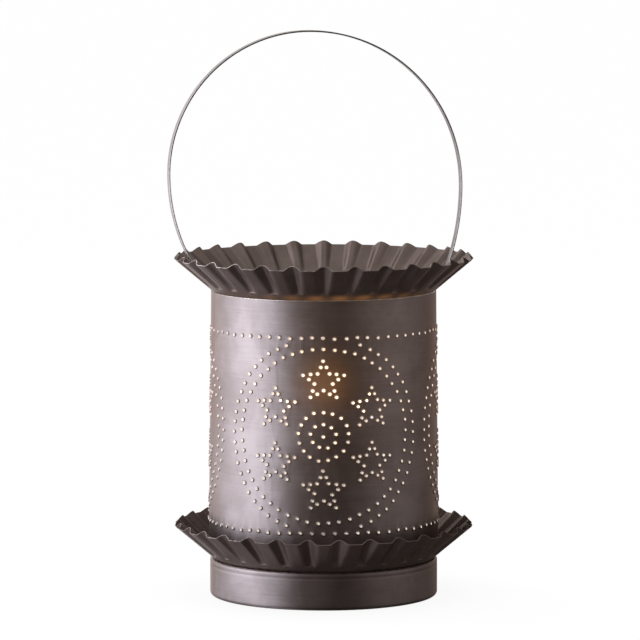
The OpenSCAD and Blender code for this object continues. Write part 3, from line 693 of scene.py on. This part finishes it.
seam = bmesh.new()
fold = [seam.verts.new((x * MM, SEAM_FOOT, t * MM)) for x, t in SEAM_LINE]
fold_edges = [seam.edges.new(pair) for pair in zip(fold, fold[1:] + fold[:1])]
for _ in range(SEAM_STEPS):
    raised, fold_edges = extruded(seam, fold_edges)
    bmesh.ops.translate(seam, verts=raised, vec=(0, (BODY_H - SEAM_FOOT) / SEAM_STEPS, 0))
bmesh.ops.holes_fill(seam, edges=[e for e in seam.edges if e.is_boundary], sides=0)
for vert in seam.verts:
    vert.co = rolled(vert.co + Vector((math.pi * BODY_MID_R, 0, 0)))
bmesh.ops.recalc_face_normals(seam, faces=seam.faces)
worn(seam, lambda place: SEAM_WEAR)
finished(seam, "lock_seam", [brushed_tin], "lantern", sharp=35)


# Body solder: short runs inside that hold the body to the lower pan.
# The same soft solder as under the pan.
dress(soft_solder, "body_solder")


# Upper pan: the loose pan that holds the wax, the twin of the lower one without its hole.
# It rests by its wall on the body's top edge, so a little lamplight gets out between them.
UPPER_PAN_Z = 193.529 * MM
LIT_R = 73.2 * MM
LIT_BAND = 1.7 * MM
LIT_TURN = math.radians(8)
LIT_MOST = 0.17
LIT_PATCHY = 0.35

upper_pan = crimped_pan(UPPER_PAN_Z, phase=0.0, hole_r=0.0, rim_wear_and_highlight=0.6)
lit = upper_pan.verts.layers.float.new("lamplight")
for vert in upper_pan.verts:
    if vert.normal.z < 0:
        turn = turn_of(vert.co) - LIT_TURN
        patchy = math.cos(turn) ** 4 * (1 - LIT_PATCHY * (1 - math.cos(CRIMPS * turn)))
        band = math.exp(-((vert.co.xy.length - LIT_R) / LIT_BAND) ** 2)
        vert[lit] = LIT_MOST * patchy * band
finished(upper_pan, "upper_pan_tin", [satin_tin], "wax_pan", "upper_pan")


# Handle: a flat strap of tin bent into a tall bow, its two feet soldered inside the upper pan.
# It leans a little to the left and stands turned from the front, as it was bent by hand.
STRAP_W = 6.4 * MM
STRAP_T = 1 * MM
STRAP_ROUND = 0.22 * MM
STRAP_TURN = math.radians(12)
RIGHT_R = 100 * MM
LEFT_R = 90.4 * MM
BOW_H = 144.8 * MM
BOW_STEPS = 40
RIGHT_STEPS = 14
LEFT_STEPS = 20
TOP_X = -10 * MM
TOP_Z = UPPER_PAN_Z + PAN_H + BOW_H
FOOT_AT_R = 79 * MM
FOOT_L = 8 * MM
FOOT_GAP = 0.2 * MM
BEND_R = 1.5 * MM
BEND_STEPS = 4
EDGE_WEAR = 0.85
WORN_BELOW = 45 * MM
WORN_OVER = 45 * MM
SIDEWAYS = 0.9
foot_rise = SHEET + FOOT_GAP + STRAP_T / 2
foot_x = FOOT_AT_R - foot_rise * math.sin(WALL)
foot_z = UPPER_PAN_Z + (FOOT_AT_R - PAN_FLOOR_R) * math.tan(WALL) + foot_rise * math.cos(WALL)

# The strap's broad faces get a paler copy of the tin as a painted highlight, and its narrow front
# and back edges a near-black copy as painted shade.
painted_lit_strap_tin = dark_tin("strap_tin_painted_highlight", (0.165, 0.156, 0.152), (0.195, 0.186, 0.182),
                    (0.230, 0.221, 0.217), rough=0.42, brushed=0.2, metal=0.7)
painted_shade_edge_tin = dark_tin("strap_edge_tin_painted_shade", (0.020, 0.018, 0.015), (0.026, 0.023, 0.020),
                    (0.034, 0.031, 0.027), rough=0.45, brushed=0.2, metal=0.7, scuffed=0.15)


def lower_bow(side_x, side_z, end_x):
    """Middle, radius and sweep of the arc that runs from upright down to a foot."""
    across, down = end_x - side_x, foot_z - side_z
    r = (across * across + down * down) / (2 * abs(across))
    return side_x + math.copysign(r, across), r, math.asin(-down / r)


right_x, right_z = TOP_X + RIGHT_R - STRAP_T / 2, TOP_Z - RIGHT_R
left_x, left_z = TOP_X - LEFT_R + STRAP_T / 2, TOP_Z - LEFT_R
right_middle, right_bow_r, right_sweep = lower_bow(right_x, right_z, foot_x)
left_middle, left_bow_r, left_sweep = lower_bow(left_x, left_z, -foot_x)
right_bend = math.pi / 2 - right_sweep - WALL
left_bend = math.pi / 2 - left_sweep - WALL
right_lead = BEND_R * math.tan(right_bend / 2)
left_lead = BEND_R * math.tan(left_bend / 2)

strap = bmesh.new()
profile = [(STRAP_W / 2 - STRAP_ROUND, STRAP_T / 2), (STRAP_W / 2, STRAP_T / 2 - STRAP_ROUND)]
profile += [(w, -t) for w, t in reversed(profile)]
profile += [(-w, t) for w, t in reversed(profile)]
along_foot = Vector((math.cos(WALL), 0, math.sin(WALL)))
up_foot = Vector((-math.sin(WALL), 0, math.cos(WALL)))
foot = Vector((foot_x, 0, foot_z))
section = [strap.verts.new(foot - along_foot * FOOT_L + up_foot * t + Vector((0, w, 0)))
           for w, t in profile]
section += [strap.edges.new(pair) for pair in zip(section, section[1:] + section[:1])]


def straight(geom, way):
    """Carries the strap's end straight on."""
    points, edges = extruded(strap, [g for g in geom if isinstance(g, bmesh.types.BMEdge)])
    bmesh.ops.translate(strap, verts=points, vec=way)
    return points + edges


def bent(geom, x, z, angle, steps):
    """Carries the strap's end round a middle, turning left as seen from the front."""
    return bmesh.ops.spin(strap, geom=geom, cent=(x, 0, z), axis=(0, -1, 0), angle=angle,
                          steps=steps)["geom_last"]


def strap_wear(place):
    """Worn along the two edges, more and more towards the feet."""
    if abs(place.dot(across_strap)) <= STRAP_W / 2 - STRAP_ROUND / 2:
        return 0
    return EDGE_WEAR * min(max((TOP_Z - WORN_BELOW - place.z) / WORN_OVER, 0), 1)


section = straight(section, along_foot * (FOOT_L - right_lead))
bend_at = foot - along_foot * right_lead + up_foot * BEND_R
section = bent(section, bend_at.x, bend_at.z, right_bend, BEND_STEPS)
section = bent(section, right_middle, right_z, right_sweep - right_lead / right_bow_r, RIGHT_STEPS)
section = bent(section, TOP_X, right_z, math.pi / 2, BOW_STEPS)
section = bent(section, TOP_X, left_z, math.pi / 2, BOW_STEPS)
section = bent(section, left_middle, left_z, left_sweep - left_lead / left_bow_r, LEFT_STEPS)
to_left_toe = Vector((math.cos(WALL), 0, -math.sin(WALL)))
off_left_foot = Vector((math.sin(WALL), 0, math.cos(WALL)))
bend_at = Vector((-foot_x, 0, foot_z)) + to_left_toe * left_lead + off_left_foot * BEND_R
section = bent(section, bend_at.x, bend_at.z, left_bend, BEND_STEPS)
straight(section, to_left_toe * (FOOT_L - left_lead))
bmesh.ops.holes_fill(strap, edges=[e for e in strap.edges if e.is_boundary], sides=0)
bmesh.ops.rotate(strap, verts=strap.verts, cent=(0, 0, 0),
                 matrix=Matrix.Rotation(STRAP_TURN, 3, "Z"))
bmesh.ops.recalc_face_normals(strap, faces=strap.faces)
across_strap = Vector((-math.sin(STRAP_TURN), math.cos(STRAP_TURN), 0))
worn(strap, strap_wear)
# Faces across the strap, its narrow edges, take the near-black copy: painted shade.
for face in strap.faces:
    face.material_index = int(abs(face.normal.dot(across_strap)) > SIDEWAYS)
finished(strap, "handle_strap", [painted_lit_strap_tin, painted_shade_edge_tin], "wax_pan", "handle", slot="strap", sharp=30)


# Handle solder: a fillet of solder at the toe of each foot.
# The same soft solder as below.
dress(soft_solder, "handle_solder")


# Stage: a plain pale floor with a cloth light tent round the object, bright on the left.
# The camera stands low in front, far off, with a long lens; it does not see the tent.
FLOOR_R = 14
FLOOR_PALE = (0.9, 0.9, 0.9, 1)
FLOOR_WHITE = 1.02
FLOOR_WHITE_SHARE = 0.88
SKY_UNSEEN = 0.9
SKY_SEEN = 1.0
TENT_LIGHT = (  # degrees to the left of the front, light
    (-175, 0.38), (-152, 0.38), (-122, 0.4), (-102, 0.55), (-80, 0.8), (-56, 0.74),
    (-35, 0.4), (-16, 0.2), (0, 0.34), (12, 0.5), (22, 0.72), (32, 1.4), (42, 2.6),
    (53, 4.4), (64, 5.8), (76, 6.4), (89, 5.8), (102, 4.6), (117, 3.0), (131, 1.9),
    (145, 0.9), (150, 0.8))
TENT_MOST = 7.2
TENT_COOL_FROM = 2.5
TENT_WARM_GREY = Vector((1.0, 0.82, 0.75))
TENT_LILAC = Vector((0.94, 0.95, 1.08))
TENT_OUTLINE = ((0.02, -0.2), (0.25, -0.2), (0.42, -0.14), (0.5, -0.06), (0.5, 0.1), (0.5, 0.6))
TENT_FOOT_Z = -0.2
TENT_FADE = ((TENT_FOOT_Z, 0.2), (-0.14, 0.25), (-0.06, 0.65), (-0.03, 0.88), (0.0, 1.0))
TENT_FROM = math.radians(175)
TENT_TURN = math.radians(-325)
TENT_STEPS = 120
CAMERA_PLACE = (-0.002315, -3.18542, 0.50593)
CAMERA_TILT = math.radians(84.083)
CAMERA_LENS = 282.87
CAMERA_SENSOR = 36
CAMERA_REACH = 60


def cleared(owner):
    """The empty node tree of a material or world."""
    owner.use_nodes = True
    owner.node_tree.nodes.clear()
    return owner.node_tree


def staged(bm, name, material):
    """Makes a thing of the stage, which is no part of the object."""
    mesh = bpy.data.meshes.new(name)
    bm.to_mesh(mesh)
    bm.free()
    mesh.materials.append(material)
    thing = bpy.data.objects.new(name, mesh)
    bpy.context.scene.collection.objects.link(thing)
    return thing


def seen_rays(tree):
    """1 for rays from the camera, and for those mirrored or bent by the object."""
    path = add(tree, "ShaderNodeLightPath").outputs
    mirrored = maths(tree, "MAXIMUM", path["Is Camera Ray"], path["Is Glossy Ray"])
    return maths(tree, "MAXIMUM", mirrored, path["Is Transmission Ray"])


pale_floor = bpy.data.materials.new("pale_floor")
tree = cleared(pale_floor)
matt = add(tree, "ShaderNodeBsdfDiffuse", {"Color": FLOOR_PALE})
white = add(tree, "ShaderNodeEmission", {"Color": (1, 1, 1, 1), "Strength": FLOOR_WHITE})
mix = add(tree, "ShaderNodeMixShader", {0: maths(tree, "MULTIPLY", seen_rays(tree),
                                                 FLOOR_WHITE_SHARE),
                                        1: matt.outputs[0], 2: white.outputs[0]})
add(tree, "ShaderNodeOutputMaterial", {"Surface": mix.outputs[0]})
floor_bm = bmesh.new()
bmesh.ops.create_circle(floor_bm, cap_ends=True, radius=FLOOR_R, segments=96)
floor = staged(floor_bm, "floor", pale_floor)
floor.visible_glossy = False

world = bpy.data.worlds.new("studio")
bpy.context.scene.world = world
tree = cleared(world)
sky = add(tree, "ShaderNodeBackground", {
    "Color": (1, 1, 1, 1), "Strength": span(tree, seen_rays(tree), 0, 1, SKY_UNSEEN, SKY_SEEN)})
add(tree, "ShaderNodeOutputWorld", {"Surface": sky.outputs[0]})


def soft_lamp(name, place, aim, size, watts, colour):
    """A square soft lamp at a place, facing a point."""
    data = bpy.data.lights.new(name, "AREA")
    data.shape = "RECTANGLE"
    data.size = size
    data.size_y = size
    data.energy = watts
    data.color = colour
    lamp = bpy.data.objects.new(name, data)
    bpy.context.scene.collection.objects.link(lamp)
    lamp.location = place
    lamp.rotation_euler = (Vector(aim) - Vector(place)).to_track_quat("-Z", "Y").to_euler()
    return lamp


upper_left = soft_lamp("left_lamp", (-0.55, 0.35, 0.75), aim=(0, 0.05, 0.2), size=0.45, watts=2.2,
                       colour=(0.95, 0.96, 1.0))
upper_left.visible_camera = False
soft_lamp("top_lamp", (0.2, -0.3, 1.7), aim=(0, 0, 0.1), size=1.4, watts=4.9,
          colour=(1.0, 0.99, 0.97))

tent_cloth = bpy.data.materials.new("tent_cloth")
tree = cleared(tent_cloth)
part = coordinates(tree, object_place(tree))
turn = maths(tree, "ARCTAN2", maths(tree, "MULTIPLY", part["X"], -1.0),
             maths(tree, "MULTIPLY", part["Y"], -1.0))
tints = [(light, TENT_WARM_GREY.lerp(TENT_LILAC, min(light / TENT_COOL_FROM, 1)))
         for _, light in TENT_LIGHT]
level = stepped(tree, span(tree, turn, -math.pi, math.pi), [
    (degrees / 360 + 0.5, tint * light / TENT_MOST)
    for (degrees, _), (light, tint) in zip(TENT_LIGHT, tints)])
fade = stepped(tree, span(tree, part["Z"], TENT_FOOT_Z, 0.0), [
    (1 - z / TENT_FOOT_Z, (light,) * 3) for z, light in TENT_FADE])
cloth = add(tree, "ShaderNodeEmission", {"Color": level,
                                         "Strength": maths(tree, "MULTIPLY", fade, TENT_MOST)})
add(tree, "ShaderNodeOutputMaterial", {"Surface": cloth.outputs[0]})
tent_bm = bmesh.new()
hem = [tent_bm.verts.new((r * math.sin(TENT_FROM), -r * math.cos(TENT_FROM), z))
       for r, z in TENT_OUTLINE]
hem += [tent_bm.edges.new(pair) for pair in zip(hem, hem[1:])]
bmesh.ops.spin(tent_bm, geom=hem, axis=(0, 0, 1), angle=TENT_TURN, steps=TENT_STEPS)
tent = staged(tent_bm, "light_tent", tent_cloth)
tent.visible_camera = False
tent.visible_diffuse = False
tent.visible_shadow = False

camera_data = bpy.data.cameras.new("camera")
camera_data.sensor_width = CAMERA_SENSOR
camera_data.lens = CAMERA_LENS
camera_data.clip_end = CAMERA_REACH
camera = bpy.data.objects.new("camera", camera_data)
bpy.context.scene.collection.objects.link(camera)
camera.location = CAMERA_PLACE
camera.rotation_euler = (CAMERA_TILT, 0, 0)
bpy.context.scene.camera = camera
bpy.context.scene.view_settings.view_transform = "Standard"
